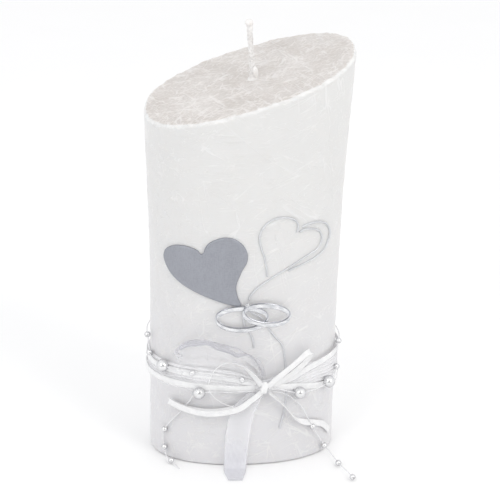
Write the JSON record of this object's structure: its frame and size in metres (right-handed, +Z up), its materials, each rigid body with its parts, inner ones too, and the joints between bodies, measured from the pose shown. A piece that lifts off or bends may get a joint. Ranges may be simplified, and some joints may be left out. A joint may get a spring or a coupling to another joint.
{
  "type": "unity candle",
  "caption": "Oval slant-topped wedding candle of white crystalline wax with silver hearts and rings, a sheer and satin bow, and a pearl garland tied round its foot.",
  "frame": {"origin": "centre of the flat base that the candle stands on", "axes": "+Z up along the wick, +X to the right along the oval's long side, front with the hearts faces -Y"},
  "size_m": [0.0982, 0.0838, 0.2137],
  "materials": {
    "core_wax": "matt poured paraffin wax",
    "coat_wax": "pearl-white crystalline wax with a soft sheen",
    "waxed_wick": "braided cotton soaked in wax",
    "tinned_steel": "bright pressed tinplate",
    "silver_sheet": "satin silver foil on wax sheet",
    "silver_strip": "silver foil on wax strip",
    "cut_glass": "faceted clear glass",
    "polished_silver": "mirror polished",
    "organza": "sheer stiff organza",
    "satin": "glossy woven satin",
    "nylon": "clear monofilament",
    "pearl": "pearlescent lacquer"
  },
  "bodies": {
    "root": {"wax_core": "core_wax", "wax_coat": "coat_wax", "wick": "waxed_wick", "wick_drop": "waxed_wick", "wick_fillet": "coat_wax", "wick_clip": "tinned_steel", "base_plug": "core_wax", "solid_heart": "silver_sheet", "heart_left_line": "silver_strip", "heart_inner_line": "silver_strip", "heart_outer_line": "silver_strip", "stem_left": "silver_strip", "stem_right": "silver_strip", "rhinestone": "cut_glass", "ring_left": "polished_silver", "ring_right": "polished_silver", "sheer_wrap": "organza", "sheer_loop": "organza", "sheer_tail": "organza", "sheer_knot": "organza", "satin_wrap_upper": "satin", "satin_wrap_lower": "satin", "satin_loop_left": "satin", "satin_loop_right": "satin", "satin_tail": "satin", "satin_curl": "satin", "satin_knot": "satin", "garland_thread": "nylon", "pearls_large": "pearl", "pearls_small": "pearl", "thread_tail_left": "nylon", "pearls_tail_left": "pearl", "thread_tail_right": "nylon", "pearls_tail_right": "pearl"}
  },
  "joints": []
}
